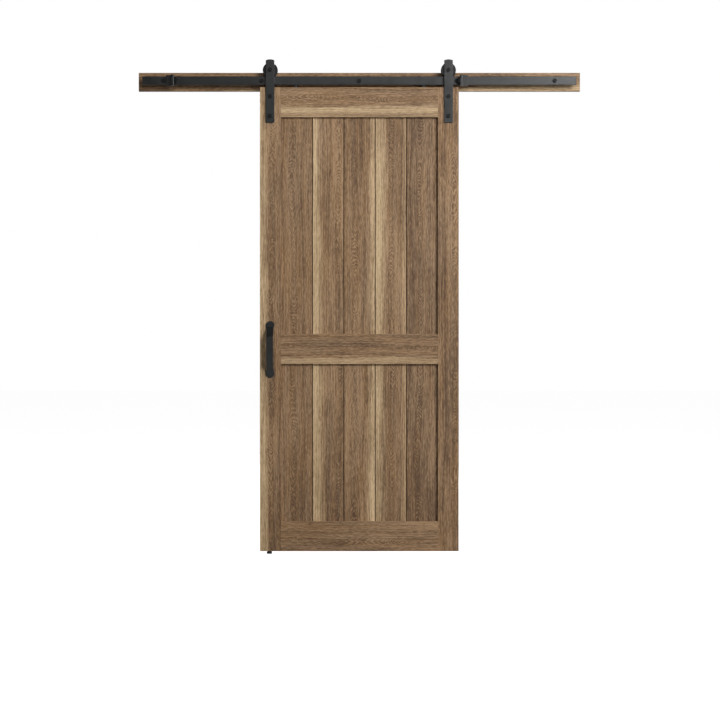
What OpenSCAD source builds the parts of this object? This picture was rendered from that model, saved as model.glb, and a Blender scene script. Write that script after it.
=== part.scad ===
// Sliding barn door on a flat rail: a framed plank door that hangs from two grooved
// wheels, with its header board, end stops, pull handle, anti-jump discs and floor guide.
// Millimetres. X runs along the wall, +Y points into the wall and +Z up.
// The origin is the centre of the header board's back face, which lies on the wall.

/* [Door leaf] */
// Width of the door leaf
door_w = 914.4; // [760:0.1:1220]
// Height of the door leaf
door_h = 2133.6; // [1700:0.1:2600]
// Thickness of the stiles and rails
door_t = 35; // [29:0.5:45]
// Width of each stile
stile_w = 96; // [80:1:120]
// Height of the top rail
top_rail_h = 138; // [115:1:170]
// Height of the bottom rail
bottom_rail_h = 137; // [114:1:170]
// Height of the two boards that make the middle rail
mid_rail_h = 138; // [110:1:170]
// Height of the middle rail's centre above the foot of the door
mid_rail_z = 929.6; // [750:0.1:1150]
// Depth of the groove that holds the planks in the stiles and rails
groove_d = 12; // [9:0.5:15]

/* [Planks] */
// Number of planks side by side
plank_count = 5; // [3:1:8]
// Thickness of a plank
plank_t = 14; // [12.5:0.5:19]
// How far the planks' back lies in front of the frame's back
panel_set = 5; // [4:0.5:8]
// Leg of the bevel along each plank's long edges
plank_bevel = 2.6; // [1.5:0.1:4]
// Thickness of the tongue between two planks
tongue_t = 5; // [4:0.5:6]
// Length of the tongue between two planks
tongue_l = 8; // [6:0.5:12]

/* [Header board and rail] */
// How far the header board runs past each end of the rail
header_past = 21; // [10:1:60]
// Height of the header board
header_h = 85; // [70:1:105]
// Thickness of the header board
header_t = 19; // [15:0.5:25]
// Length of the flat steel rail
track_l = 2000; // [1660:1:2400]
// Height of the flat steel rail
track_h = 40; // [33:1:50]
// Thickness of the flat steel rail
track_t = 6; // [5:0.5:8]
// Number of bolts that carry the rail
bolt_count = 5; // [3:1:6]
// Distance of the outer bolts from the ends of the rail
bolt_end = 100; // [60:1:150]
// Diameter of the distance tubes behind the rail
spacer_d = 20; // [16:0.5:24]

/* [Hangers] */
// Distance of each hanger's centre from the door's side edge
hanger_inset = 47.2; // [39:0.1:60]
// Width of the hanger strap
strap_w = 40; // [33:0.5:48]
// Thickness of the hanger strap
strap_t = 6; // [5:0.5:8]
// Radius of the strap's rounded top, measured from the axle
strap_top_r = 48; // [40:0.5:60]
// Distance of the upper strap bolt below the door's top edge
strap_bolt_drop = 42; // [35:0.5:52]
// Distance between the two strap bolts
strap_bolt_pitch = 90.5; // [75:0.5:110]
// Distance from the lower strap bolt to the strap's foot
strap_end = 31.5; // [18:0.5:40]
// Radius of the wheel's tread, which rolls on the rail
tread_r = 27; // [22.5:0.1:33]
// Gap between the wheel's flanges and the bolt heads and distance tubes they pass
flange_gap = 2.7; // [1.5:0.1:4]
// Width of the wheel
wheel_w = 24; // [20:0.5:30]
// Gap between the wheel and the strap
wheel_side_gap = 2.5; // [1:0.1:5]

/* [Bolts] */
// Diameter of the rail bolts, strap bolts and axle bolts
bolt_d = 10; // [8:0.5:12]
// Width across the flats of the bolt heads and nuts
bolt_af = 17; // [14:0.5:21]
// Height of the bolt heads
bolt_head_h = 7; // [5:0.5:8.5]

/* [Stops] */
// Gap between the left stop and the bolt beside it
stop_gap = 0.5; // [0.4:0.1:60]
// Gap between the right strap and the right bumper when the door is shut
close_gap = 23; // [5:0.5:60]
// How far the stops stand above and below the rail
stop_wall = 4.5; // [3:0.5:8]
// Length of the clip that grips the rail
clip_l = 23.5; // [18:0.5:30]
// How far the clip stands in front of the rail
clip_proud = 6; // [4:0.5:8]
// Length of the stop's upright plate along the rail
plate_l = 15; // [12:0.5:20]
// How far the upright plate stands in front of the rail
plate_proud = 22; // [18:0.5:27]
// Thickness of the rubber bumper along the rail
bumper_t = 9; // [6:0.5:12]

/* [Handle] */
// Distance of the handle's centre line from the door's side edge
handle_inset = 47; // [39:0.1:60]
// Height of the handle's centre above the foot of the door
handle_z = 928; // [770:1:1120]
// Distance between the centres of the two round feet
handle_pitch = 220; // [180:1:264]
// Diameter of the round feet
foot_d = 40; // [33:0.5:48]
// Width of the flat bar
grip_w = 31; // [25:0.5:38]
// Thickness of the flat bar
grip_t = 5; // [4:0.5:6]
// How far the grip's front stands out from the door
grip_proud = 45; // [37:0.5:54]
// Length of the straight grip, from bend to bend
grip_l = 110; // [90:1:132]

/* [Floor guide and discs] */
// Distance of the floor guide from the door's side edge
guide_inset = 43; // [30:0.5:60]
// Gap between the door's foot and the floor
floor_gap = 13; // [10:0.5:20]
// Diameter of the floor guide's puck
puck_d = 24; // [20:0.5:30]
// Gap between the floor guide's puck and the door's foot
puck_gap = 3; // [1:0.5:5]
// Width of the guide groove under the door
guide_groove_w = 10; // [8:0.5:12]
// Depth of the guide groove under the door
guide_groove_d = 18; // [14:0.5:22]
// Distance from a strap's centre to its anti-jump disc
disc_from_strap = 116; // [80:1:150]
// Diameter of an anti-jump disc
disc_d = 26; // [21:0.5:32]
// Gap between the rail's underside and the door's top edge
door_drop = 12; // [10:0.5:16]
// Gap left between the rail's underside and the anti-jump discs
disc_gap = 2; // [1:0.5:4]
// Gap between the door's back and the header board
door_clear = 14; // [10:0.5:25]

/* [Hidden] */
$fn = 64;

oak = [0.54, 0.45, 0.36];
oak_deep = [0.49, 0.40, 0.31];
charcoal = [0.24, 0.24, 0.24];
bolt_black = [0.17, 0.17, 0.17];
rubber_black = [0.08, 0.08, 0.08];
nylon_black = [0.11, 0.11, 0.11];
bearing_grey = [0.62, 0.63, 0.64];
screw_grey = [0.45, 0.46, 0.47];

// Clearances
past = 1;             // how far a cutter runs past a face
bolt_clear = 0.25;    // round a bolt in its hole
thread_clear = 0.05;  // round a thread in its nut or pilot hole
axle_clear = 0.05;    // round the axle in the bearing and its spacer
glue_clear = 0.1;     // each side of a tenon, a plank edge or a dowel
end_clear = 1;        // at the end of a tenon, a tongue or a plank
tongue_clear = 0.2;   // each side of a tongue
plank_gap = 0.4;      // between the edges of two planks
running_gap = 0.2;    // under the wheel's tread
tread_clear = 1.2;    // each side of the rail in the wheel's groove
grip_clear = 0.1;     // between a stop's clip and the rail

// Planes across the wall's normal
header_front_y = -header_t;
door_back_y = header_front_y - door_clear;
door_front_y = door_back_y - door_t;
door_mid_y = door_front_y + door_t / 2;
strap_front_y = door_front_y - strap_t;
track_mid_y = door_front_y + wheel_side_gap + wheel_w / 2;
track_front_y = track_mid_y - track_t / 2;
track_back_y = track_mid_y + track_t / 2;

// Bolts, nuts and washers
nut_h = 8;
washer_t = 2;
washer_d = 21;
bolt_tip = 1;         // how far a bolt's end stands past its nut
turn_step = 14;       // how much further each hexagon is turned than the last
bolt_room_r = max(spacer_d / 2, bolt_af / 2 / cos(30)); // what a rail bolt takes up along the rail

// Levels
axle_z = track_h / 2 + running_gap + tread_r;
door_top_z = -track_h / 2 - door_drop;
door_foot_z = door_top_z - door_h;
floor_z = door_foot_z - floor_gap;
strap_foot_z = door_top_z - strap_bolt_drop - strap_bolt_pitch - strap_end;
strap_bolt_zs = [door_top_z - strap_bolt_drop, door_top_z - strap_bolt_drop - strap_bolt_pitch];

// Places along the wall
header_l = track_l + 2 * header_past;
panel_w = door_w - 2 * stile_w;
stile_inner_x = panel_w / 2;
plank_pitch = panel_w / plank_count;
hanger_x = door_w / 2 - hanger_inset;
disc_x = hanger_x - disc_from_strap;
handle_x = door_w / 2 - handle_inset;
guide_x = door_w / 2 - guide_inset;
bolt_pitch = (track_l - 2 * bolt_end) / (bolt_count - 1);
bolt_xs = [for (i = [0:bolt_count - 1]) -track_l / 2 + bolt_end + i * bolt_pitch];
wall_screw_xs = [for (i = [0:bolt_count - 2]) (bolt_xs[i] + bolt_xs[i + 1]) / 2];

// Frame joints
groove_w = plank_t + 2 * glue_clear;
tenon_l = groove_d - end_clear;
recess_d = door_t - plank_t - panel_set;   // in front of the planks
panel_mid_y = door_back_y - panel_set - plank_t / 2;
dowel_d = 10;
dowel_edge = 34;      // each dowel's distance from the rail's edges
dowel_wall = 5.8;     // wood between a dowel's end and the strap bolts
dowel_in_rail = 38;
dowel_in_stile = stile_w - hanger_inset - bolt_d / 2 - dowel_wall;
dowel_l = dowel_in_rail + dowel_in_stile;

// Header board fixings
lag_d = bolt_d - 2;   // threaded end of a rail bolt, in the header board
lag_cover = 4;        // wood between a rail bolt's end and the header board's back
lag_l = header_t - lag_cover;
wall_screw_d = 6.5;
wall_screw_sink_d = 13;

// Wheel and bearing
flange_h = track_h / 2 + running_gap - flange_gap - bolt_room_r;
bearing_d = 26;
bearing_l = 8;
bearing_pitch_r = 9;
ball_d = 4.76;
ball_count = 8;
race_clear = 0.06;    // round a ball in its races
inner_ring_r = 7.4;
outer_ring_r = 10.6;
shield_t = 0.5;
shield_in = 0.3;      // how far a shield sits inside the ring's end
seat_clear = 0.02;    // round the bearing in the wheel
hub_lip_r = 10.4;
groove_half = track_t / 2 + tread_clear;
groove_flare = 1.4;   // how much each side of the groove opens outwards
wheel_edge = 1.5;     // bevel round the flanges
axle_spacer_d = 14;
wheel_r = tread_r + flange_h;
bearing_front = wheel_side_gap + (wheel_w - bearing_l) / 2; // from the strap to the bearing

// Stops
stop_h = track_h + 2 * stop_wall;
lip_t = 4;            // thickness of the clip behind the rail
lip_reach = 7;        // how far each lip reaches down behind the rail
plate_round_r = 3.5;
bumper_h = 28;
bumper_round_r = 4;
bumper_back = 1;      // from the rail bolts' heads to the bumper
set_screw_d = 5;
bumper_screw_d = 4;
bumper_screw_head_d = 8;
bumper_screw_l = 16;
plate_front_y = track_front_y - plate_proud;
bumper_back_y = track_front_y - bolt_head_h - bumper_back;
bumper_front_y = plate_front_y + bumper_back / 2;
bumper_mid_y = (bumper_back_y + bumper_front_y) / 2;

// Handle
bend_r = 6;           // inside radius of the bar's bends
bend_steps = 8;
leg_foot = 6;         // from a foot's centre to the start of the bend
handle_screw_d = 6;
handle_screw_bite = 4;
handle_screw_head_d = 12;
handle_screw_head_h = 4;

// Floor guide and discs
guide_pin_clear = 0.5; // each side of the pin in its groove
guide_pin_top = 3;     // between the pin's top and the groove's roof
guide_screw_d = 4.5;
disc_h = door_drop - disc_gap;
disc_edge = 1;
disc_screw_d = 4;
disc_screw_head_d = 8;
disc_screw_l = 34;

// ---- shared shapes ----

// A round cutter or bar along +Y from y0 to y1
module rod_y(x, z, y0, y1, d) translate([x, y0, z]) rotate([-90, 0, 0]) cylinder(d = d, h = y1 - y0);

// Turns a shape built along +Z so that it points along +Y
module into_wall(x, y, z, turn = 0) translate([x, y, z]) rotate([-90, 0, 0]) rotate([0, 0, turn]) children();

// Builds a shape for the right side, or its mirror image for the left
module on_side(side) {
    if (side < 0) mirror([1, 0, 0]) children();
    else children();
}

module tube(d_out, d_in, l) {
    difference() {
        cylinder(d = d_out, h = l);
        translate([0, 0, -past]) cylinder(d = d_in, h = l + 2 * past);
    }
}

// A hexagon with its corners turned off at z = 0, and at z = h too if both is true
module hexagon(af, h, both = false) {
    corner_r = af / 2 / cos(30);
    face_r = 0.49 * af;
    drop = (corner_r + past - face_r) * tan(30);
    intersection() {
        linear_extrude(h) circle(r = corner_r, $fn = 6);
        rotate_extrude() polygon(concat(
            [[0, 0], [face_r, 0], [corner_r + past, drop]],
            both ? [[corner_r + past, h - drop], [face_r, h], [0, h]] : [[corner_r + past, h], [0, h]]
        ));
    }
}

// A hexagon-head bolt: head below z = 0, plain shank above it
module hex_bolt(shank_l) {
    translate([0, 0, -bolt_head_h]) hexagon(bolt_af, bolt_head_h);
    translate([0, 0, -past]) cylinder(d = bolt_d, h = shank_l + past);
}

module hex_nut() {
    difference() {
        hexagon(bolt_af, nut_h, true);
        translate([0, 0, -past]) cylinder(d = bolt_d + 2 * thread_clear, h = nut_h + 2 * past);
    }
}

// A countersunk screw with its flat top at z = 0, pointing along -Z
module flat_screw(d, head_d, l) {
    rotate_extrude() polygon([
        [0, 0], [head_d / 2, 0], [d / 2, -(head_d - d) / 2], [d / 2, -l], [0, -l]
    ]);
}

// The hole for a countersunk screw, open above z = 0
module flat_screw_hole(d, head_d, l, clear) {
    rotate_extrude() polygon([
        [0, past], [head_d / 2 + clear, past], [head_d / 2 + clear, 0],
        [d / 2 + clear, -(head_d - d) / 2], [d / 2 + clear, -l], [0, -l]
    ]);
}

module rounded_rect(w, h, r) {
    square([w, h - 2 * r], center = true);
    square([w - 2 * r, h], center = true);
    for (sx = [-1, 1], sy = [-1, 1]) translate([sx * (w / 2 - r), sy * (h / 2 - r)]) circle(r);
}

// ---- header board and rail ----

module header_board() {
    color(oak_deep)
    difference() {
        translate([-header_l / 2, header_front_y, -header_h / 2]) cube([header_l, header_t, header_h]);
        for (x = bolt_xs)
            rod_y(x, 0, header_front_y - past, header_front_y + lag_l + end_clear, lag_d + 2 * thread_clear);
        for (x = wall_screw_xs)
            translate([x, header_front_y, 0]) rotate([90, 0, 0])
                flat_screw_hole(wall_screw_d, wall_screw_sink_d, header_t + past, 0);
    }
}

module track_rail() {
    color(charcoal)
    difference() {
        translate([-track_l / 2, track_front_y, -track_h / 2]) cube([track_l, track_t, track_h]);
        for (x = bolt_xs) rod_y(x, 0, track_front_y - past, track_back_y + past, bolt_d + 2 * bolt_clear);
    }
}

module track_spacers() {
    color(charcoal)
    for (x = bolt_xs)
        into_wall(x, track_back_y, 0) tube(spacer_d, bolt_d + 2 * bolt_clear, header_front_y - track_back_y);
}

module track_bolts() {
    plain_l = header_front_y - track_front_y;
    color(bolt_black)
    for (i = [0:bolt_count - 1])
        into_wall(bolt_xs[i], track_front_y, 0, turn_step * i) {
            hex_bolt(plain_l);
            translate([0, 0, plain_l - past]) cylinder(d = lag_d, h = lag_l + past);
        }
}

// ---- end stops, built for the right side with the bumper towards the door ----

// Distance of the bumper's face from the middle. The left stop stands beside the outer bolt; the
// right one stands close_gap from the strap, or past the bolt that it would otherwise cover.
function stop_x(side) =
    side < 0
        ? -bolt_xs[0] - bolt_room_r - stop_gap - clip_l - plate_l - bumper_t
        : past_bolt(hanger_x + strap_w / 2 + close_gap);

function past_bolt(x) =
    let (
        from = x + bumper_t - bolt_room_r,
        to = x + bumper_t + plate_l + clip_l + bolt_room_r,
        covered = [for (b = bolt_xs) if (b > from && b < to) b]
    )
    len(covered) == 0 ? x : max(covered) + bolt_room_r - bumper_t + grip_clear;

module stop_channel(x0, l) {
    translate([x0, track_front_y - grip_clear, -track_h / 2 - grip_clear])
        cube([l, track_t + 2 * grip_clear, track_h + 2 * grip_clear]);
    translate([x0, track_mid_y, -track_h / 2 + lip_reach])
        cube([l, track_t + lip_t, track_h - 2 * lip_reach]);
}

module stop_plate() {
    depth = track_back_y + lip_t - plate_front_y;
    translate([0, plate_front_y, -stop_h / 2])
    linear_extrude(stop_h) {
        translate([0, plate_round_r]) square([plate_l, depth - plate_round_r]);
        translate([plate_round_r, 0]) square([plate_l - 2 * plate_round_r, depth]);
        for (x = [plate_round_r, plate_l - plate_round_r]) translate([x, plate_round_r]) circle(plate_round_r);
    }
}

module stop_body(side) {
    clip_front_y = track_front_y - clip_proud;
    color(charcoal)
    on_side(side) translate([stop_x(side) + bumper_t, 0, 0])
    difference() {
        union() {
            stop_plate();
            translate([plate_l - past, clip_front_y, -stop_h / 2])
                cube([clip_l + past, track_back_y + lip_t - clip_front_y, stop_h]);
        }
        stop_channel(-past, plate_l + clip_l + 2 * past);
        stop_set_screw_places() cylinder(d = set_screw_d + 2 * thread_clear, h = stop_h / 2);
        translate([-past, bumper_mid_y, 0]) rotate([0, 90, 0])
            cylinder(d = bumper_screw_d + 2 * thread_clear, h = bumper_screw_l - bumper_t + end_clear + past);
    }
}

module stop_set_screw_places() {
    for (x = [plate_l + 0.27 * clip_l, plate_l + 0.73 * clip_l])
        translate([x, track_mid_y, track_h / 2]) children();
}

module stop_set_screws(side) {
    color(bolt_black)
    on_side(side) translate([stop_x(side) + bumper_t, 0, 0])
        stop_set_screw_places() difference() {
            cylinder(d = set_screw_d, h = stop_h / 2 - track_h / 2);
            translate([0, 0, stop_h / 2 - track_h / 2 - set_screw_d / 2])
                linear_extrude(set_screw_d) circle(d = set_screw_d / 2, $fn = 6);
        }
}

module stop_bumper(side) {
    color(rubber_black)
    on_side(side) translate([stop_x(side), bumper_mid_y, 0])
    difference() {
        rotate([90, 0, 90]) linear_extrude(bumper_t)
            rounded_rect(bumper_back_y - bumper_front_y, bumper_h, bumper_round_r);
        translate([bumper_t / 3, 0, 0]) rotate([0, -90, 0])
            flat_screw_hole(bumper_screw_d, bumper_screw_head_d, bumper_t, glue_clear);
        translate([bumper_t / 3 + glue_clear, 0, 0]) rotate([0, -90, 0])
            cylinder(d = bumper_screw_head_d + 2 * glue_clear, h = bumper_t);
    }
}

module stop_bumper_screw(side) {
    color(bolt_black)
    on_side(side) translate([stop_x(side) + bumper_t / 3, bumper_mid_y, 0]) rotate([0, -90, 0])
        flat_screw(bumper_screw_d, bumper_screw_head_d, bumper_screw_l - bumper_t / 3);
}

// ---- floor guide ----

module floor_guide() {
    pin_d = guide_groove_w - 2 * guide_pin_clear;
    guide_h = floor_gap + guide_groove_d - guide_pin_top;
    puck_h = floor_gap - puck_gap;
    sink_d = pin_d - 1.4;
    color(nylon_black)
    translate([-guide_x, door_mid_y, floor_z])
    difference() {
        rotate_extrude() polygon([
            [0, 0], [puck_d / 2 - disc_edge, 0], [puck_d / 2, disc_edge], [puck_d / 2, puck_h - disc_edge],
            [puck_d / 2 - disc_edge, puck_h], [pin_d / 2, puck_h], [pin_d / 2, guide_h], [0, guide_h]
        ]);
        translate([0, 0, guide_h]) flat_screw_hole(guide_screw_d, sink_d, guide_h + past, 0);
    }
}

// ---- door leaf ----

// Where each dowel starts inside a rail, pointing out into the stile
module dowel_places() {
    for (rail = [[door_top_z - top_rail_h, top_rail_h], [door_foot_z, bottom_rail_h]])
        for (side = [-1, 1], dz = [dowel_edge, rail[1] - dowel_edge])
            translate([side * (stile_inner_x - dowel_in_rail), panel_mid_y, rail[0] + dz])
                rotate([0, side * 90, 0]) children();
}

module dowel_holes() {
    dowel_places() translate([0, 0, -end_clear])
        cylinder(d = dowel_d + 2 * glue_clear, h = dowel_l + 2 * end_clear);
}

module guide_groove() {
    translate([-door_w / 2 - past, door_mid_y - guide_groove_w / 2, door_foot_z - past])
        cube([door_w + 2 * past, guide_groove_w, guide_groove_d + past]);
}

module stile(side) {
    color(oak)
    difference() {
        on_side(side)
        translate([stile_inner_x, door_front_y, door_foot_z]) cube([stile_w, door_t, door_h]);
        on_side(side)
        translate([stile_inner_x - past, panel_mid_y - groove_w / 2, door_foot_z - past])
            cube([groove_d + past, groove_w, door_h + 2 * past]);
        guide_groove();
        dowel_holes();
        for (z = strap_bolt_zs)
            rod_y(side * hanger_x, z, door_front_y - past, door_back_y + past, bolt_d + 2 * bolt_clear);
        if (side < 0) handle_screw_places()
            translate([0, 0, -past]) cylinder(d = handle_screw_d + 2 * bolt_clear, h = door_t + 2 * past);
    }
}

// A rail between the stiles: its stub tenons fill the stiles' grooves, and its own groove opens at groove_z
module rail_blank(z0, h, groove_z) {
    difference() {
        union() {
            translate([-panel_w / 2, door_front_y, z0]) cube([panel_w, door_t, h]);
            translate([-panel_w / 2 - tenon_l, panel_mid_y - plank_t / 2, z0])
                cube([panel_w + 2 * tenon_l, plank_t, h]);
        }
        translate([-panel_w / 2 - tenon_l - past, panel_mid_y - groove_w / 2, groove_z])
            cube([panel_w + 2 * (tenon_l + past), groove_w, groove_d + past]);
        dowel_holes();
    }
}

module rail_top() {
    z0 = door_top_z - top_rail_h;
    color(oak)
    difference() {
        rail_blank(z0, top_rail_h, z0 - past);
        disc_places() translate([0, 0, -disc_screw_l + disc_h - end_clear])
            cylinder(d = disc_screw_d + 2 * thread_clear, h = disc_screw_l);
    }
}

module rail_bottom() {
    color(oak_deep)
    difference() {
        rail_blank(door_foot_z, bottom_rail_h, door_foot_z + bottom_rail_h - groove_d);
        guide_groove();
    }
}

// The middle rail is a board in the recess on each side of the planks
module rail_mid(y0, t) {
    color(oak)
    translate([-panel_w / 2, y0, door_foot_z + mid_rail_z - mid_rail_h / 2])
        cube([panel_w, t, mid_rail_h]);
}

module frame_dowels() {
    color(oak) dowel_places() cylinder(d = dowel_d, h = dowel_l);
}

// A plank seen from above, with its left edge at x = 0
module plank_profile(first, last) {
    left = first ? -tenon_l : plank_gap / 2;
    right = plank_pitch + (last ? tenon_l : -plank_gap / 2);
    bevelled = concat(first ? [] : [left], last ? [] : [right]);
    difference() {
        union() {
            translate([left, -plank_t / 2]) square([right - left, plank_t]);
            if (!last) translate([right - past, -tongue_t / 2]) square([tongue_l + past, tongue_t]);
        }
        if (!first) translate([left - past, -tongue_t / 2 - tongue_clear])
            square([tongue_l + end_clear + past, tongue_t + 2 * tongue_clear]);
        for (x = bevelled, y = [-plank_t / 2, plank_t / 2])
            translate([x, y]) rotate(45) square(plank_bevel * sqrt(2), center = true);
    }
}

module plank(i) {
    z0 = door_foot_z + bottom_rail_h - tenon_l;
    z1 = door_top_z - top_rail_h + tenon_l;
    color(i % 2 == 0 ? oak : oak_deep)
    translate([-panel_w / 2 + (i - 1) * plank_pitch, panel_mid_y, z0])
        linear_extrude(z1 - z0) plank_profile(i == 1, i == plank_count);
}

// ---- anti-jump discs on the door's top edge ----

module disc_places(sides = [-1, 1]) {
    for (side = sides) translate([side * disc_x, door_mid_y, door_top_z]) children();
}

module antijump_disc(side) {
    r = disc_d / 2;
    color(nylon_black)
    disc_places([side]) difference() {
        rotate_extrude() polygon([[0, 0], [r, 0], [r, disc_h - disc_edge], [r - disc_edge, disc_h], [0, disc_h]]);
        translate([0, 0, disc_h])
            flat_screw_hole(disc_screw_d, disc_screw_head_d, disc_h + past, glue_clear);
    }
}

module antijump_screws() {
    color(screw_grey)
    disc_places() translate([0, 0, disc_h]) flat_screw(disc_screw_d, disc_screw_head_d, disc_screw_l);
}

// ---- pull handle: one flat bar, bent twice at each end, on two round feet ----

function unit(v) = v / norm(v);
function left_of(v) = [-v[1], v[0]];
function turned(v, a) = [v[0] * cos(a) - v[1] * sin(a), v[0] * sin(a) + v[1] * cos(a)];

// Points and side directions round the bend at q, on the way from p to s
function bend(p, q, s, r) =
    let (
        u = unit(q - p),
        v = unit(s - q),
        turn = atan2(u[0] * v[1] - u[1] * v[0], u * v),
        side = sign(turn),
        centre = q - u * r * tan(abs(turn) / 2) + left_of(u) * r * side
    )
    [for (k = [0:bend_steps]) let (n = turned(left_of(u), turn * k / bend_steps)) [centre - n * r * side, n]];

module bar_outline(path, t, r) {
    last = len(path) - 1;
    places = concat(
        [[path[0], left_of(unit(path[1] - path[0]))]],
        [for (i = [1:last - 1]) each bend(path[i - 1], path[i], path[i + 1], r + t / 2)],
        [[path[last], left_of(unit(path[last] - path[last - 1]))]]
    );
    polygon(concat(
        [for (p = places) p[0] + p[1] * t / 2],
        [for (i = [len(places) - 1:-1:0]) places[i][0] - places[i][1] * t / 2]
    ));
}

function handle_path() =
    let (
        foot_y = door_front_y - grip_t / 2,
        grip_y = door_front_y - grip_proud + grip_t / 2,
        half = handle_pitch / 2
    )
    [
        [foot_y, half], [foot_y, half - leg_foot], [grip_y, grip_l / 2],
        [grip_y, -grip_l / 2], [foot_y, leg_foot - half], [foot_y, -half]
    ];

module handle_screw_places() {
    for (side = [-1, 1])
        translate([-handle_x, door_front_y, door_foot_z + handle_z + side * handle_pitch / 2])
            rotate([-90, 0, 0]) children();
}

module handle_pull() {
    color(charcoal)
    difference() {
        union() {
            translate([-handle_x - grip_w / 2, 0, door_foot_z + handle_z])
                rotate([90, 0, 90]) linear_extrude(grip_w) bar_outline(handle_path(), grip_t, bend_r);
            handle_screw_places() translate([0, 0, -grip_t]) cylinder(d = foot_d, h = grip_t);
        }
        handle_screw_places() translate([0, 0, -handle_screw_bite])
            cylinder(d = handle_screw_d + 2 * thread_clear, h = handle_screw_bite + past);
    }
}

module handle_screws() {
    color(screw_grey)
    handle_screw_places() {
        translate([0, 0, -handle_screw_bite + glue_clear])
            cylinder(d = handle_screw_d, h = door_t + handle_screw_bite);
        translate([0, 0, door_t]) cylinder(d = handle_screw_head_d, h = handle_screw_head_h);
    }
}

// ---- hangers ----

module hanger_strap(side) {
    color(charcoal)
    difference() {
        translate([side * hanger_x, door_front_y, 0]) rotate([90, 0, 0]) linear_extrude(strap_t)
            intersection() {
                translate([-strap_w / 2, strap_foot_z])
                    square([strap_w, axle_z + strap_top_r - strap_foot_z]);
                union() {
                    translate([-strap_w / 2, strap_foot_z]) square([strap_w, axle_z - strap_foot_z]);
                    translate([0, axle_z]) circle(strap_top_r, $fn = 128);
                }
            }
        for (z = strap_bolt_zs)
            rod_y(side * hanger_x, z, strap_front_y - past, door_front_y + past, bolt_d + 2 * bolt_clear);
        rod_y(side * hanger_x, axle_z, strap_front_y - past, door_front_y + past, bolt_d + 2 * axle_clear);
    }
}

module hanger_bolts(side) {
    color(bolt_black)
    for (i = [0, 1])
        into_wall(side * hanger_x, strap_front_y, strap_bolt_zs[i], turn_step * (i + 1))
            hex_bolt(strap_t + door_t + washer_t + nut_h + bolt_tip);
}

module hanger_washers(side) {
    color(bolt_black)
    for (z = strap_bolt_zs)
        into_wall(side * hanger_x, door_back_y, z) tube(washer_d, bolt_d + 2 * bolt_clear, washer_t);
}

module hanger_nuts(side) {
    color(bolt_black)
    for (i = [0, 1])
        into_wall(side * hanger_x, door_back_y + washer_t, strap_bolt_zs[i], -turn_step * i) hex_nut();
}

// The axle runs from the strap through the spacer and the bearing to its nut, which sits inside the hub
module at_axle(side, y = door_front_y) into_wall(side * hanger_x, y, axle_z) children();

module hanger_axle_bolt(side) {
    color(bolt_black)
    into_wall(side * hanger_x, strap_front_y, axle_z, side * turn_step)
        hex_bolt(strap_t + bearing_front + bearing_l + nut_h + bolt_tip);
}

module hanger_axle_spacer(side) {
    color(screw_grey) at_axle(side) tube(axle_spacer_d, bolt_d + 2 * axle_clear, bearing_front);
}

module hanger_axle_nut(side) {
    color(bolt_black) at_axle(side, door_front_y + bearing_front + bearing_l) hex_nut();
}

module hanger_wheel(side) {
    half = wheel_w / 2;
    seat = -bearing_l / 2;
    open = groove_half + groove_flare;
    color(bolt_black)
    at_axle(side, track_mid_y)
    rotate_extrude($fn = 128) polygon([
        [hub_lip_r, -half], [wheel_r - wheel_edge, -half], [wheel_r, wheel_edge - half], [wheel_r, -open],
        [tread_r, -groove_half], [tread_r, groove_half],
        [wheel_r, open], [wheel_r, half - wheel_edge], [wheel_r - wheel_edge, half],
        [bearing_d / 2 + seat_clear + wheel_edge, half], [bearing_d / 2 + seat_clear, half - wheel_edge],
        [bearing_d / 2 + seat_clear, seat], [hub_lip_r, seat]
    ]);
}

module bearing_ring(r_in, r_out) {
    rotate_extrude() difference() {
        translate([r_in, -bearing_l / 2]) square([r_out - r_in, bearing_l]);
        translate([bearing_pitch_r, 0]) circle(ball_d / 2 + race_clear);
    }
}

module hanger_bearing_outer(side) {
    color(bearing_grey) at_axle(side, track_mid_y) bearing_ring(outer_ring_r, bearing_d / 2);
}

module hanger_bearing_inner(side) {
    color(bearing_grey) at_axle(side, track_mid_y) bearing_ring(bolt_d / 2 + axle_clear, inner_ring_r);
}

module hanger_bearing_balls(side) {
    color(bearing_grey) at_axle(side, track_mid_y)
    for (i = [0:ball_count - 1])
        rotate([0, 0, i * 360 / ball_count]) translate([bearing_pitch_r, 0, 0]) sphere(d = ball_d);
}

module hanger_bearing_shields(side) {
    reach = bearing_l / 2 - shield_in;
    color(rubber_black) at_axle(side, track_mid_y)
    for (z = [-reach, reach - shield_t])
        translate([0, 0, z]) tube(2 * outer_ring_r, 2 * (inner_ring_r + race_clear), shield_t);
}

// ---- nodes ----

header_board();
track_rail();
track_spacers();
track_bolts();
stop_body(-1);  // stop_left_body
stop_bumper(-1);  // stop_left_bumper
stop_bumper_screw(-1);  // stop_left_bumper_screw
stop_set_screws(-1);  // stop_left_set_screws
stop_body(1);  // stop_right_body
stop_bumper(1);  // stop_right_bumper
stop_bumper_screw(1);  // stop_right_bumper_screw
stop_set_screws(1);  // stop_right_set_screws
floor_guide();
stile(-1);  // stile_left
stile(1);  // stile_right
rail_top();
rail_bottom();
rail_mid(door_front_y, recess_d);  // rail_mid_front
rail_mid(door_back_y - panel_set, panel_set);  // rail_mid_back
frame_dowels();
for (i = [1:plank_count]) {
    plank(i);
}
antijump_disc(-1);  // antijump_disc_left
antijump_disc(1);  // antijump_disc_right
antijump_screws();
handle_pull();
handle_screws();
for (side = [-1, 1]) {
    hanger = str("hanger_", side < 0 ? "left" : "right", "_");
    hanger_strap(side);
    hanger_bolts(side);
    hanger_washers(side);
    hanger_nuts(side);
    hanger_axle_bolt(side);
    hanger_axle_spacer(side);
    hanger_axle_nut(side);
    hanger_wheel(side);
    hanger_bearing_outer(side);
    hanger_bearing_inner(side);
    hanger_bearing_balls(side);
    hanger_bearing_shields(side);
}
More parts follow.
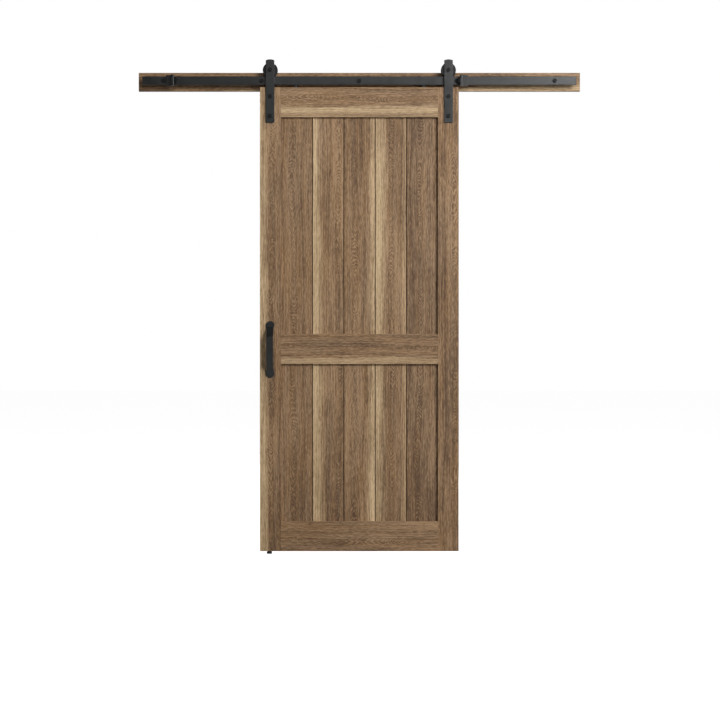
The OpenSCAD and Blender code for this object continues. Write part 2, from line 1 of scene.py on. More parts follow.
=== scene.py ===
"""Looks of a sliding barn door: grey-brown oak leaf, flat steel rail, strap hangers and pull."""

import logging
import math
from dataclasses import dataclass, field, replace
from enum import Enum
from typing import Any, Callable, ClassVar, Optional, Protocol

import bmesh
import bpy
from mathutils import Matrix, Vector

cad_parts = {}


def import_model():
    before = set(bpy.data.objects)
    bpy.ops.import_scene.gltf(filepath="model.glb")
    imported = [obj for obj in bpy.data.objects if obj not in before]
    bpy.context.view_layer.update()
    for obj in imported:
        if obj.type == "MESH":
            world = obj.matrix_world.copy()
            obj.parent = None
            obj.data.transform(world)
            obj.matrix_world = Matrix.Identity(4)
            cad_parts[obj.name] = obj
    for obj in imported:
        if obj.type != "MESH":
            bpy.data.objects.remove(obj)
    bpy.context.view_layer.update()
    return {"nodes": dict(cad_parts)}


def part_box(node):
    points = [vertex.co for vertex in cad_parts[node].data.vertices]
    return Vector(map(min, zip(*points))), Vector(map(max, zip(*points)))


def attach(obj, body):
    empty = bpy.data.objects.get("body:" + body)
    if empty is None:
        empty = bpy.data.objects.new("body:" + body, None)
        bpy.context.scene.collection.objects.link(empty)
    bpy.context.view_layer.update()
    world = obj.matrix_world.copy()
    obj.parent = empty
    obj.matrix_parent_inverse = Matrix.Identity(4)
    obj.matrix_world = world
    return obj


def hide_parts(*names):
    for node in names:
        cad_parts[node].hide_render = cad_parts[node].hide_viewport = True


log = logging.getLogger("barn_door")

MM = 0.001
Colour = tuple[float, float, float, float]
Point = tuple[float, float, float]


# ---- colours and nodes ----


def linear(code: str) -> Colour:
    """Turn an sRGB hex colour into the linear values that shaders take.

    Args:
        code: Six hex digits.

    Returns:
        Red, green, blue and a full alpha.
    """
    parts = [int(code[i : i + 2], 16) / 255 for i in (0, 2, 4)]
    low = [c / 12.92 if c <= 0.04045 else ((c + 0.055) / 1.055) ** 2.4 for c in parts]
    return (low[0], low[1], low[2], 1.0)


def add(
    tree: bpy.types.NodeTree,
    kind: str,
    inputs: Optional[dict[Any, Any]] = None,
    **settings: Any,
) -> bpy.types.Node:
    """Add a shader node with its settings, values and links.

    Inputs that share a name are given by number. A MapRange has its value at 0, the range that
    it reads at 1 and 2, and the range that it gives at 3 and 4. A Mix has its share at 0, its
    numbers at 2 and 3 and its colours at 6 and 7, and gives a mixed colour at 2.

    Args:
        tree: Where the node goes.
        kind: The node's type, without its ShaderNode prefix.
        inputs: Values or sockets by input name or number.
        **settings: The node's own properties.

    Returns:
        The new node.
    """
    node = tree.nodes.new("ShaderNode" + kind)
    for name, value in settings.items():
        setattr(node, name, value)
    for key, value in (inputs or {}).items():
        if isinstance(value, bpy.types.NodeSocket):
            tree.links.new(value, node.inputs[key])
        else:
            node.inputs[key].default_value = value
    return node


def start_material(name: str) -> tuple[bpy.types.Material, bpy.types.NodeTree]:
    """Make an empty material.

    Args:
        name: The material's name.

    Returns:
        The material and its node tree.
    """
    material = bpy.data.materials.new(name)
    material.use_nodes = True
    material.node_tree.nodes.clear()
    return material, material.node_tree


class Finish(Protocol):
    """A real finish that can be made as a material."""

    @property
    def name(self) -> str:
        """Give the material's name."""

    def material(self) -> bpy.types.Material:
        """Build the material."""


# ---- oak ----


class Along(Enum):
    """The way a board's grain runs."""

    UP = "up"
    ACROSS = "across"


class Side(Enum):
    """The side of its inner edge that a band of sapwood lies on.

    The names are for an upright board. On a board that lies across, LEFT is the lower side.
    """

    LEFT = -1
    RIGHT = 1


@dataclass(frozen=True)
class Sapwood:
    """A pale band of sapwood along a board.

    Attributes:
        edge: Where the band's inner edge lies, in mm across the board from its figure's centre.
        side: The side of that edge that the band lies on.
        drift: How far the edge moves over a metre along the board, in mm.
        wander: How far the edge strays from that line, in mm.
        soft: Width of the blurred edge, in mm.
        fray: How far streaks reach across the edge, in mm.
        strength: How pale the band is, from 0 to 1.
        width: How wide the band is before the heartwood comes back, in mm.
    """

    edge: float
    side: Side
    drift: float = 0.0
    wander: float = 3.0
    soft: float = 23.0
    fray: float = 38.0
    strength: float = 1.0
    width: float = 400.0


@dataclass(frozen=True)
class Pattern:
    """A soft random pattern that is stretched along the grain.

    Attributes:
        across: Size of a patch across the grain, in mm.
        along: Size of a patch along the grain, in mm.
        key: Sets this pattern apart from the board's others.
        detail: Number of finer layers.
        rough: Weight of the finer layers.
    """

    across: float
    along: float
    key: float
    detail: float = 1.0
    rough: float = 0.5


@dataclass(frozen=True)
class Oak:
    """Flat-sawn oak, planed, stained grey-brown and finished matt.

    Planing and stain give the eye a dry, even brown with open grain and almost no shine: dark
    late wood in pointed arches down a board's middle, straight lines at its sides, short pores,
    long fibres, and straw-coloured sapwood where the board was cut near the bark. Growth rings
    are shells round a pith that wanders close to the face.

    Attributes:
        name: The material's name.
        along: The way the grain runs.
        centre: The point on the face, in mm, that the figure is centred on.
        pith: Distance of the pith in front of the face, in mm.
        spread: How far the arches reach to each side of the figure's centre, in mm.
        arches: Number of arches that point one way before they turn round.
        tone: How much lighter than the middle tone the board is, in steps.
        warm: Share of the warmer stain, from 0 to 1.
        seed: Picks the board's own figure.
        bands: Its sapwood.
        groove: True where the bevels along the board's edges are darkened with stain and painted
            shade.
    """

    name: str
    along: Along = Along.UP
    centre: Point = (0.0, 0.0, 0.0)
    pith: float = 5.0
    spread: float = 24.0
    arches: float = 9.0
    tone: float = 0.0
    warm: float = 0.5
    seed: float = 0.0
    bands: tuple[Sapwood, ...] = ()
    groove: bool = False

    # Rings in oak are 2 to 4 mm apart, which is too fine to show at this size. They are drawn
    # 11 mm apart, with an arch every 22 mm along the board.
    RING: ClassVar[float] = 11.0
    ARCH: ClassVar[float] = 22.0

    # Darkness through a ring, as shares of its width with a grey for each: pale early wood, then
    # dark late wood. It is 0 at both ends, so late wood stops sharply at the next ring.
    RISE: ClassVar[tuple[tuple[float, float], ...]] = ((0.14, 0.1), (0.42, 0.6), (0.8, 0.85))

    # How the rings stray: slow drift of the pith in mm, ragged edges in rings, and arches that
    # bunch and warp by a number of arches.
    DRIFT: ClassVar[Pattern] = Pattern(200, 420, key=1, detail=0)
    DRIFT_BY: ClassVar[Point] = (46.0, 30.0, 0.0)
    RAGGED: ClassVar[Pattern] = Pattern(8, 15, key=2)
    RAGGED_BY: ClassVar[float] = 1.1
    BUNCHED: ClassVar[Pattern] = Pattern(500, 260, key=7)
    BUNCHED_BY: ClassVar[float] = 14.0
    WARPED: ClassVar[Pattern] = Pattern(24, 70, key=9)
    WARPED_BY: ClassVar[float] = 3.2
    SHOWN: ClassVar[Pattern] = Pattern(300, 170, key=8)

    # Wood between the rings. Fibres are under 1 mm wide and pores 0.3 mm. They are drawn 8 and
    # 4.4 mm wide, the finest that show.
    BLOTCH: ClassVar[Pattern] = Pattern(100, 620, key=3)
    FIBRE: ClassVar[Pattern] = Pattern(8, 150, key=4, detail=2, rough=0.55)
    PORES: ClassVar[Pattern] = Pattern(4.4, 24, key=5, rough=0.6)
    HUE: ClassVar[Pattern] = Pattern(26, 420, key=6)
    SAP_EDGE: ClassVar[Pattern] = Pattern(60, 300, key=20, detail=2)
    SEED_STEP: ClassVar[float] = 7.3

    # What each of these adds to a tone that runs from 0, darkest, to 1, palest.
    TONE_STEP: ClassVar[float] = 0.11
    RING_GAIN: ClassVar[float] = -0.62
    OWN_GAIN: ClassVar[float] = 0.2
    BLOTCH_GAIN: ClassVar[float] = 1.15
    FIBRE_GAIN: ClassVar[float] = 1.1
    PORE_GAIN: ClassVar[float] = 1.3

    # Where a patch of stain turns from cool to warm, and how far a warmer board moves that.
    HUE_RANGE: ClassVar[tuple[float, float]] = (0.35, 0.65)
    WARM_SHIFT: ClassVar[float] = 0.3

    # Stain left in the grooves, in mm below the board's face: where it starts, where it is full,
    # its share there, how far down it reaches, and how much deeper a bevel that faces left
    # counts.
    # That last is painted shade on the flank turned away from the key lamp.
    POOL_START: ClassVar[float] = 0.3
    POOL_FULL: ClassVar[float] = 1.2
    POOL_SHARE: ClassVar[float] = 0.97
    POOL_REACH: ClassVar[float] = 6.0
    LEFT_FLANK_SHADE: ClassVar[float] = 1.2

    # Matt finish: dark pores and late wood stay duller than the pale wood between them. They
    # lie up to RELIEF deeper, in mm, softened to a share of that.
    DULL: ClassVar[float] = 0.64
    SMOOTH: ClassVar[float] = 0.52
    RELIEF: ClassVar[float] = 0.25
    SOFTENED: ClassVar[float] = 0.25

    DARK: ClassVar[str] = "5A422E"
    WARM: ClassVar[str] = "8A6A48"
    COOL: ClassVar[str] = "866B50"
    PALE: ClassVar[str] = "AE8D6A"
    SAP_DARK: ClassVar[str] = "987C59"
    SAP_PALE: ClassVar[str] = "DFC299"
    # Dark of the stain in the grooves, which also serves there as painted shade.
    STAIN_AND_SHADE: ClassVar[str] = "32231A"

    def streaks(
        self, tree: bpy.types.NodeTree, place: bpy.types.NodeSocket, pattern: Pattern
    ) -> bpy.types.Node:
        """Add a pattern to the board.

        Args:
            tree: The material's nodes.
            place: Position on the board, in mm.
            pattern: What is added.

        Returns:
            The pattern's node, with a Fac and a Color output.
        """
        across, along = 1 / pattern.across, 1 / pattern.along
        scaled = add(tree, "VectorMath", {0: place, 1: (across, across, along)},
                     operation="MULTIPLY")
        return add(tree, "TexNoise", {
            "Vector": scaled.outputs[0], "W": self.seed * self.SEED_STEP + pattern.key,
            "Scale": 1.0, "Detail": pattern.detail, "Roughness": pattern.rough,
        }, noise_dimensions="4D")

    def place(self, tree: bpy.types.NodeTree) -> bpy.types.NodeSocket:
        """Give the position on the board in mm.

        Args:
            tree: The material's nodes.

        Returns:
            The position's socket: across the board, behind its face, and along the grain.
        """
        x, y, z = self.centre
        up = self.along is Along.UP
        shift = (-x, -y, -z) if up else (-z, -y, x)
        where = add(tree, "TexCoord")
        return add(tree, "Mapping", {
            "Vector": where.outputs["Object"], "Location": shift,
            "Rotation": (0.0, 0.0 if up else math.pi / 2, 0.0),
            "Scale": (1 / MM, 1 / MM, 1 / MM),
        }).outputs[0]

    def wandered(
        self, tree: bpy.types.NodeTree, place: bpy.types.NodeSocket
    ) -> bpy.types.NodeSocket:
        """Give the position as it lies to a pith that wanders.

        Args:
            tree: The material's nodes.
            place: Position on the board, in mm.

        Returns:
            The shifted position's socket, in mm.
        """
        drift = self.streaks(tree, place, self.DRIFT)
        stray = add(tree, "VectorMath", {0: drift.outputs["Color"], 1: (0.5, 0.5, 0.5)},
                    operation="SUBTRACT")
        return add(tree, "VectorMath", {0: stray.outputs[0], 1: self.DRIFT_BY, 2: place},
                   operation="MULTIPLY_ADD").outputs[0]

    def count(
        self, tree: bpy.types.NodeTree, place: bpy.types.NodeSocket, moved: bpy.types.NodeSocket
    ) -> bpy.types.NodeSocket:
        """Count the rings out from the pith.

        Args:
            tree: The material's nodes.
            place: Position on the board, in mm.
            moved: Position to the wandering pith, in mm.

        Returns:
            The number of rings, with its fraction.
        """
        from_pith = add(tree, "Mapping", {"Vector": moved, "Location": (0.0, self.pith, 0.0)})
        flat = add(tree, "VectorMath", {0: from_pith.outputs[0], 1: (1.0, 1.0, 0.0)},
                   operation="MULTIPLY")
        radius = add(tree, "VectorMath", {0: flat.outputs[0]}, operation="LENGTH")
        number = add(tree, "Math", {0: radius.outputs["Value"], 1: 1 / self.RING},
                     operation="MULTIPLY")
        ragged = self.streaks(tree, place, self.RAGGED)
        return add(tree, "Math", {0: ragged.outputs["Fac"], 1: self.RAGGED_BY,
                                  2: number.outputs[0]}, operation="MULTIPLY_ADD").outputs[0]

    def climb(
        self, tree: bpy.types.NodeTree, place: bpy.types.NodeSocket, along: bpy.types.NodeSocket
    ) -> bpy.types.NodeSocket:
        """Count the arches along the board, up and down again.

        Args:
            tree: The material's nodes.
            place: Position on the board, in mm.
            along: Distance along the grain, in mm.

        Returns:
            The number of arches, with its fraction.
        """
        steps = add(tree, "Math", {0: along, 1: 1 / self.ARCH}, operation="MULTIPLY").outputs[0]
        for pattern, gain in ((self.BUNCHED, self.BUNCHED_BY), (self.WARPED, self.WARPED_BY)):
            shift = self.streaks(tree, place, pattern)
            steps = add(tree, "Math", {0: shift.outputs["Fac"], 1: gain, 2: steps},
                        operation="MULTIPLY_ADD").outputs[0]
        return add(tree, "Math", {0: steps, 1: self.arches}, operation="PINGPONG").outputs[0]

    def darkness(
        self, tree: bpy.types.NodeTree, phase: bpy.types.NodeSocket
    ) -> bpy.types.NodeSocket:
        """Shade each ring from its pale early wood to its dark late wood.

        Args:
            tree: The material's nodes.
            phase: Number of rings from the pith.

        Returns:
            Darkness, from -0.5 to 0.35.
        """
        part = add(tree, "Math", {0: phase}, operation="FRACT")
        shape = add(tree, "ValToRGB", {"Fac": part.outputs[0]})
        ramp = shape.color_ramp
        ramp.elements[0].position, ramp.elements[0].color = 0.0, (0, 0, 0, 1)
        ramp.elements[1].position, ramp.elements[1].color = 1.0, (0, 0, 0, 1)
        for position, grey in self.RISE:
            ramp.elements.new(position).color = (grey, grey, grey, 1)
        return add(tree, "Math", {0: shape.outputs["Color"], 1: -0.5},
                   operation="ADD").outputs[0]

    def rings(
        self, tree: bpy.types.NodeTree, place: bpy.types.NodeSocket
    ) -> tuple[bpy.types.NodeSocket, bpy.types.NodeSocket]:
        """Add the growth rings: arches down the middle, fainter straight lines beside them.

        Args:
            tree: The material's nodes.
            place: Position on the board, in mm.

        Returns:
            Darkness through the rings, and a tone from 0 to 1 that is each ring's own.
        """
        moved = self.wandered(tree, place)
        axes = add(tree, "SeparateXYZ", {0: moved})
        phase = self.count(tree, place, moved)
        lift = self.climb(tree, place, axes.outputs[2])
        arched = add(tree, "Math", {0: phase, 1: lift}, operation="ADD")

        # Arches keep full strength over the inner quarter of their spread.
        off = add(tree, "Math", {0: axes.outputs[0]}, operation="ABSOLUTE")
        middle = add(tree, "MapRange", {
            0: off.outputs[0], 1: self.spread / 4, 2: self.spread, 3: 1.0, 4: 0.0,
        }, interpolation_type="SMOOTHSTEP")
        faint = add(tree, "Math", {0: self.darkness(tree, phase), 1: 0.5}, operation="MULTIPLY")

        # They come and go along the board, from a quarter to one and a quarter of their strength.
        come_and_go = self.streaks(tree, place, self.SHOWN)
        shown = add(tree, "MapRange", {0: come_and_go.outputs["Fac"], 1: 0.4, 2: 0.6,
                                       3: 0.25, 4: 1.25})
        strong = add(tree, "Math", {0: self.darkness(tree, arched.outputs[0]),
                                    1: shown.outputs[0]}, operation="MULTIPLY")
        marked = add(tree, "Mix", {0: middle.outputs[0], 2: faint.outputs[0],
                                   3: strong.outputs[0]})
        number = add(tree, "Math", {0: phase}, operation="FLOOR")
        own = add(tree, "TexWhiteNoise", {"W": number.outputs[0]}, noise_dimensions="1D")
        return marked.outputs[0], own.outputs["Value"]

    def tone_at(
        self, tree: bpy.types.NodeTree, place: bpy.types.NodeSocket, fibre: bpy.types.NodeSocket
    ) -> bpy.types.NodeSocket:
        """Add up rings, blotches, fibres and pores.

        Args:
            tree: The material's nodes.
            place: Position on the board, in mm.
            fibre: Fibre streaks, from 0 to 1.

        Returns:
            The tone, from 0, darkest, to 1, palest.
        """
        ring, own = self.rings(tree, place)
        blotch = self.streaks(tree, place, self.BLOTCH)
        pores = self.streaks(tree, place, self.PORES)
        tone = 0.5 + self.TONE_STEP * self.tone
        for source, gain, middle in (
            (ring, self.RING_GAIN, 0.0), (own, self.OWN_GAIN, 0.5),
            (blotch.outputs["Fac"], self.BLOTCH_GAIN, 0.5), (fibre, self.FIBRE_GAIN, 0.5),
            (pores.outputs["Fac"], self.PORE_GAIN, 0.5),
        ):
            tone = add(tree, "Math", {0: source, 1: gain, 2: tone}, operation="MULTIPLY_ADD")
            tone = add(tree, "Math", {0: tone.outputs[0], 1: gain * middle},
                       operation="SUBTRACT").outputs[0]
        return tone

    def heartwood(
        self, tree: bpy.types.NodeTree, place: bpy.types.NodeSocket, tone: bpy.types.NodeSocket
    ) -> bpy.types.NodeSocket:
        """Colour the heartwood: dark, stained in a warm and a cool brown, and pale.

        Args:
            tree: The material's nodes.
            place: Position on the board, in mm.
            tone: Tone of the wood, from 0 to 1.

        Returns:
            The colour's socket.
        """
        hue = self.streaks(tree, place, self.HUE)
        cooler = self.WARM_SHIFT * (0.5 - self.warm)
        start, end = self.HUE_RANGE
        stain = add(tree, "MapRange", {0: hue.outputs["Fac"], 1: start + cooler,
                                       2: end + cooler, 3: 0.0, 4: 1.0})
        body = add(tree, "Mix", {0: stain.outputs[0], 6: linear(self.COOL), 7: linear(self.WARM)},
                   data_type="RGBA")
        lows = add(tree, "MapRange", {0: tone, 1: 0.0, 2: 0.5, 3: 0.0, 4: 1.0})
        highs = add(tree, "MapRange", {0: tone, 1: 0.5, 2: 1.0, 3: 0.0, 4: 1.0})
        dark = add(tree, "Mix", {0: lows.outputs[0], 6: linear(self.DARK), 7: body.outputs[2]},
                   data_type="RGBA")
        return add(tree, "Mix", {0: highs.outputs[0], 6: dark.outputs[2], 7: linear(self.PALE)},
                   data_type="RGBA").outputs[2]

    def sap(
        self, tree: bpy.types.NodeTree, place: bpy.types.NodeSocket, fibre: bpy.types.NodeSocket
    ) -> Optional[bpy.types.NodeSocket]:
        """Add the share of sapwood at each point.

        Args:
            tree: The material's nodes.
            place: Position on the board, in mm.
            fibre: Streaks from 0 to 1 that fray the band's edge.

        Returns:
            A socket from 0 to 1, or None for a board of heartwood only.
        """
        total = None
        axes = add(tree, "SeparateXYZ", {0: place})
        for number, band in enumerate(self.bands):
            side = band.side.value
            pattern = replace(self.SAP_EDGE, key=self.SAP_EDGE.key + number)
            wobble = self.streaks(tree, place, pattern)
            lean = add(tree, "Math", {0: axes.outputs[2], 1: band.drift * MM, 2: band.edge},
                       operation="MULTIPLY_ADD")
            # The pattern seldom leaves its middle, 0.5, by more than a quarter, so it is taken
            # four times, and twice the wander comes off again below.
            edge = add(tree, "Math", {0: wobble.outputs["Fac"], 1: 4 * band.wander,
                                      2: lean.outputs[0]}, operation="MULTIPLY_ADD")
            past = add(tree, "Math", {0: axes.outputs[0], 1: edge.outputs[0]},
                       operation="SUBTRACT")
            facing = add(tree, "Math", {0: past.outputs[0], 1: float(side),
                                        2: 2 * band.wander * side - 0.5 * band.fray},
                         operation="MULTIPLY_ADD")
            toward = add(tree, "Math", {0: fibre, 1: band.fray, 2: facing.outputs[0]},
                         operation="MULTIPLY_ADD")
            inside = add(tree, "MapRange", {
                0: toward.outputs[0], 1: -band.soft, 2: band.soft, 3: 0.0, 4: band.strength,
            }, interpolation_type="SMOOTHSTEP")
            outside = add(tree, "MapRange", {
                0: toward.outputs[0], 1: band.width - band.soft, 2: band.width + band.soft,
                3: 1.0, 4: 0.0,
            }, interpolation_type="SMOOTHSTEP")
            share = add(tree, "Math", {0: inside.outputs[0], 1: outside.outputs[0]},
                        operation="MULTIPLY")
            if total is not None:
                share = add(tree, "Math", {0: share.outputs[0], 1: total}, operation="MAXIMUM")
            total = share.outputs[0]
        return total

    def groove_stain_and_shade(
        self, tree: bpy.types.NodeTree, place: bpy.types.NodeSocket, colour: bpy.types.NodeSocket
    ) -> bpy.types.NodeSocket:
        """Darken the grooves between planks with stain and painted shade, on the front only.

        Args:
            tree: The material's nodes.
            place: Position on the board, in mm.
            colour: Colour of the bare board.

        Returns:
            The colour's socket.
        """
        depth = add(tree, "SeparateXYZ", {0: place})
        flank = add(tree, "SeparateXYZ", {0: add(tree, "NewGeometry").outputs["Normal"]})
        # Painted shade: a bevel that faces left, away from the key lamp, counts as lying deeper,
        # so it is darkened more.
        flank_shade_depth = add(tree, "Math", {0: flank.outputs[0], 1: -self.LEFT_FLANK_SHADE, 2: depth.outputs[1]},
                    operation="MULTIPLY_ADD")
        pool = add(tree, "MapRange", {
            0: flank_shade_depth.outputs[0], 1: self.POOL_START, 2: self.POOL_FULL, 3: 0.0,
            4: self.POOL_SHARE,
        }, interpolation_type="SMOOTHSTEP")
        front = add(tree, "Math", {0: depth.outputs[1], 1: self.POOL_REACH},
                    operation="LESS_THAN")
        stained = add(tree, "Math", {0: pool.outputs[0], 1: front.outputs[0]},
                      operation="MULTIPLY")
        return add(tree, "Mix", {0: stained.outputs[0], 6: colour, 7: linear(self.STAIN_AND_SHADE)},
                   data_type="RGBA").outputs[2]

    def material(self) -> bpy.types.Material:
        """Build the oak.

        Returns:
            The material.
        """
        material, tree = start_material(self.name)
        place = self.place(tree)
        fibre = self.streaks(tree, place, self.FIBRE).outputs["Fac"]
        tone = self.tone_at(tree, place, fibre)
        colour = self.heartwood(tree, place, tone)

        share = self.sap(tree, place, fibre)
        if share is not None:
            pale = add(tree, "Mix", {0: tone, 6: linear(self.SAP_DARK), 7: linear(self.SAP_PALE)},
                       data_type="RGBA")
            colour = add(tree, "Mix", {0: share, 6: colour, 7: pale.outputs[2]},
                         data_type="RGBA").outputs[2]
        if self.groove:
            colour = self.groove_stain_and_shade(tree, place, colour)

        gloss = add(tree, "MapRange", {0: tone, 1: 0.2, 2: 0.8, 3: self.DULL, 4: self.SMOOTH})
        relief = add(tree, "Bump", {"Height": tone, "Strength": self.SOFTENED,
                                    "Distance": self.RELIEF * MM})
        shader = add(tree, "BsdfPrincipled", {
            "Base Color": colour, "Roughness": gloss.outputs[0], "Normal": relief.outputs[0],
            "Specular IOR Level": 0.35, "IOR": 1.5,
        })
        add(tree, "OutputMaterial", {0: shader.outputs[0]})
        return material


# ---- metal, rubber and nylon ----


@dataclass(frozen=True)
class FineSkin:
    """A fine, even skin: a powder coat, an oxide, plating, ground steel or a moulded surface.

    It gives the eye one tone with a soft sheen, a faint grain, and slightly paler and duller
    patches where hands and tools have rubbed it.

    Attributes:
        name: The material's name.
        colour: Colour of the skin.
        rough: Middle roughness of the skin.
        grain: Size of its grain, in mm. 3 mm is a powder coat's orange peel.
        worn: How much paler the skin is where it is rubbed.
        metallic: Share of metal in what is seen.
        specular: Strength of the skin's sheen.
    """

    name: str
    colour: str
    rough: float
    grain: float = 3.0
    worn: float = 0.02
    metallic: float = 0.0
    specular: float = 0.5

    # Colour and size, in mm, of the rubbed patches, and how much smoother the skin is between
    # them and duller in them.
    RUBBED: ClassVar[str] = "8C8F91"
    PATCH: ClassVar[float] = 45.0
    SMOOTHER: ClassVar[float] = 0.04
    DULLER: ClassVar[float] = 0.06

    # Height of the grain, in mm, and how strongly it shows.
    HEIGHT: ClassVar[float] = 0.12
    STRENGTH: ClassVar[float] = 0.12

    def material(self) -> bpy.types.Material:
        """Build the skin.

        Returns:
            The material.
        """
        material, tree = start_material(self.name)
        where = add(tree, "TexCoord")
        grain = add(tree, "TexNoise", {"Vector": where.outputs["Object"],
                                       "Scale": 1 / (self.grain * MM), "Detail": 2.0})
        handled = add(tree, "TexNoise", {"Vector": where.outputs["Object"],
                                         "Scale": 1 / (self.PATCH * MM), "Detail": 4.0,
                                         "Roughness": 0.6})
        rub = add(tree, "MapRange", {0: handled.outputs["Fac"], 1: 0.35, 2: 0.75,
                                     3: 0.0, 4: self.worn})
        colour = add(tree, "Mix", {0: rub.outputs[0], 6: linear(self.colour),
                                   7: linear(self.RUBBED)}, data_type="RGBA")
        gloss = add(tree, "MapRange", {0: handled.outputs["Fac"], 1: 0.3, 2: 0.7,
                                       3: self.rough - self.SMOOTHER,
                                       4: self.rough + self.DULLER})
        relief = add(tree, "Bump", {"Height": grain.outputs["Fac"], "Strength": self.STRENGTH,
                                    "Distance": self.HEIGHT * MM})
        shader = add(tree, "BsdfPrincipled", {
            "Base Color": colour.outputs[2], "Roughness": gloss.outputs[0],
            "Normal": relief.outputs[0], "Metallic": self.metallic,
            "Specular IOR Level": self.specular,
        })
        add(tree, "OutputMaterial", {0: shader.outputs[0]})
        return material


# Mild steel, powder-coated and baked: a soft charcoal sheen with a 3 mm orange peel, so a flat
# face takes up the light evenly and its edges stay quiet.
CHARCOAL = FineSkin("satin_charcoal_powder_coat", "171818", 0.33, specular=0.48)

# Steel bolts, blackened hot and oiled: darker and duller than the coat round them, so each head
# stands out. Real scale is finer than 0.1 mm and is drawn at 1.5 mm.
OXIDE = FineSkin("black_oxide_bolts", "0A0A0A", 0.5, grain=1.5, worn=0.01, specular=0.2)

# Steel turned on a lathe and blackened: a dull, dense black with a fine 1 mm grain, which
# stands in for tool marks of 0.1 mm.
WHEEL = FineSkin("blackened_turned_steel", "0F0F10", 0.5, grain=1.0, specular=0.3)

# Moulded rubber: black with hardly any shine, so a bumper reads as soft beside its steel stop.
RUBBER = FineSkin("moulded_black_rubber", "101010", 0.85, specular=0.2)

# Moulded nylon: a slightly greyer black with a waxy half-shine.
NYLON = FineSkin("moulded_black_nylon", "151516", 0.55, specular=0.35)

# Ground bearing steel: bare bright metal, smooth enough to mirror the light.
BEARING = FineSkin("ground_bearing_steel", "B7BABD", 0.25, worn=0.04, metallic=1.0)

# Zinc-plated steel: bare metal, greyer and more clouded than ground steel.
ZINC = FineSkin("zinc_plated_steel", "9EA2A6", 0.35, worn=0.04, metallic=1.0)


# ---- shapes ----

# Corners of a node that lie closer than WELD, in mm, are one. Faces that meet at less than FLAT,
# in degrees, are one. Edges that bend less than SMOOTH_TO, in degrees, are shaded smooth.
WELD = 0.002
FLAT = 0.5
SMOOTH_TO = 35.0


def finish_piece(
    shape: bmesh.types.BMesh, name: str, material: bpy.types.Material, body: str,
    replaced: tuple[str, ...],
) -> bpy.types.Object:
    """Turn a mesh into a piece that rides on a body and stands for CAD nodes.

    Args:
        shape: The finished mesh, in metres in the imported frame. It is freed.
        name: The piece's name.
        material: Its material.
        body: The body it rides on.
        replaced: The CAD nodes that it stands for.

    Returns:
        The piece.
    """
    shape.normal_update()
    for edge in shape.edges:
        edge.smooth = edge.calc_face_angle(0.0) < math.radians(SMOOTH_TO)
    for face in shape.faces:
        face.smooth = True
    mesh = bpy.data.meshes.new(name)
    shape.to_mesh(mesh)
    shape.free()
    mesh.materials.append(material)
    piece = bpy.data.objects.new(name, mesh)
    bpy.context.scene.collection.objects.link(piece)
    weigh = piece.modifiers.new("even_normals", "WEIGHTED_NORMAL")
    weigh.keep_sharp = True
    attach(piece, body)
    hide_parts(*replaced)
    log.info("%s rides on %s: %d faces", name, body, len(mesh.polygons))
    return piece


def eased_copy(
    source: bpy.types.Object, ease: float, segments: int = 2, shortest: float = 0.0,
    least: float = 35.0, keep: Optional[Callable[[bmesh.types.BMEdge], bool]] = None,
) -> bmesh.types.BMesh:
    """Copy a CAD node as one closed mesh, with its outer edges eased.

    Args:
        source: The CAD node's object.
        ease: Width of the eased edge, in mm.
        segments: Steps across it.
        shortest: Edges shorter than this, in mm, stay sharp.
        least: Edges that bend less than this, in degrees, stay as they are.
        keep: Picks among the edges that are left, if given.

    Returns:
        The new mesh.
    """
    shape = bmesh.new()
    shape.from_mesh(source.data)
    bmesh.ops.remove_doubles(shape, verts=shape.verts, dist=WELD * MM)
    bmesh.ops.dissolve_limit(shape, angle_limit=math.radians(FLAT), verts=shape.verts,
                             edges=shape.edges)
    outer = [
        e for e in shape.edges
        if e.is_manifold and e.is_convex and e.calc_face_angle() > math.radians(least)
        and e.calc_length() > shortest * MM and (keep is None or keep(e))
    ]
    bmesh.ops.bevel(shape, geom=outer, offset=ease * MM, offset_type="OFFSET",
                    segments=segments, profile=0.5, affect="EDGES", clamp_overlap=True,
                    material=-1)
    return shape


# ---- sub-assemblies ----


class Hand(Enum):
    """The end of the rail, as seen from the front."""

    LEFT = "left"
    RIGHT = "right"


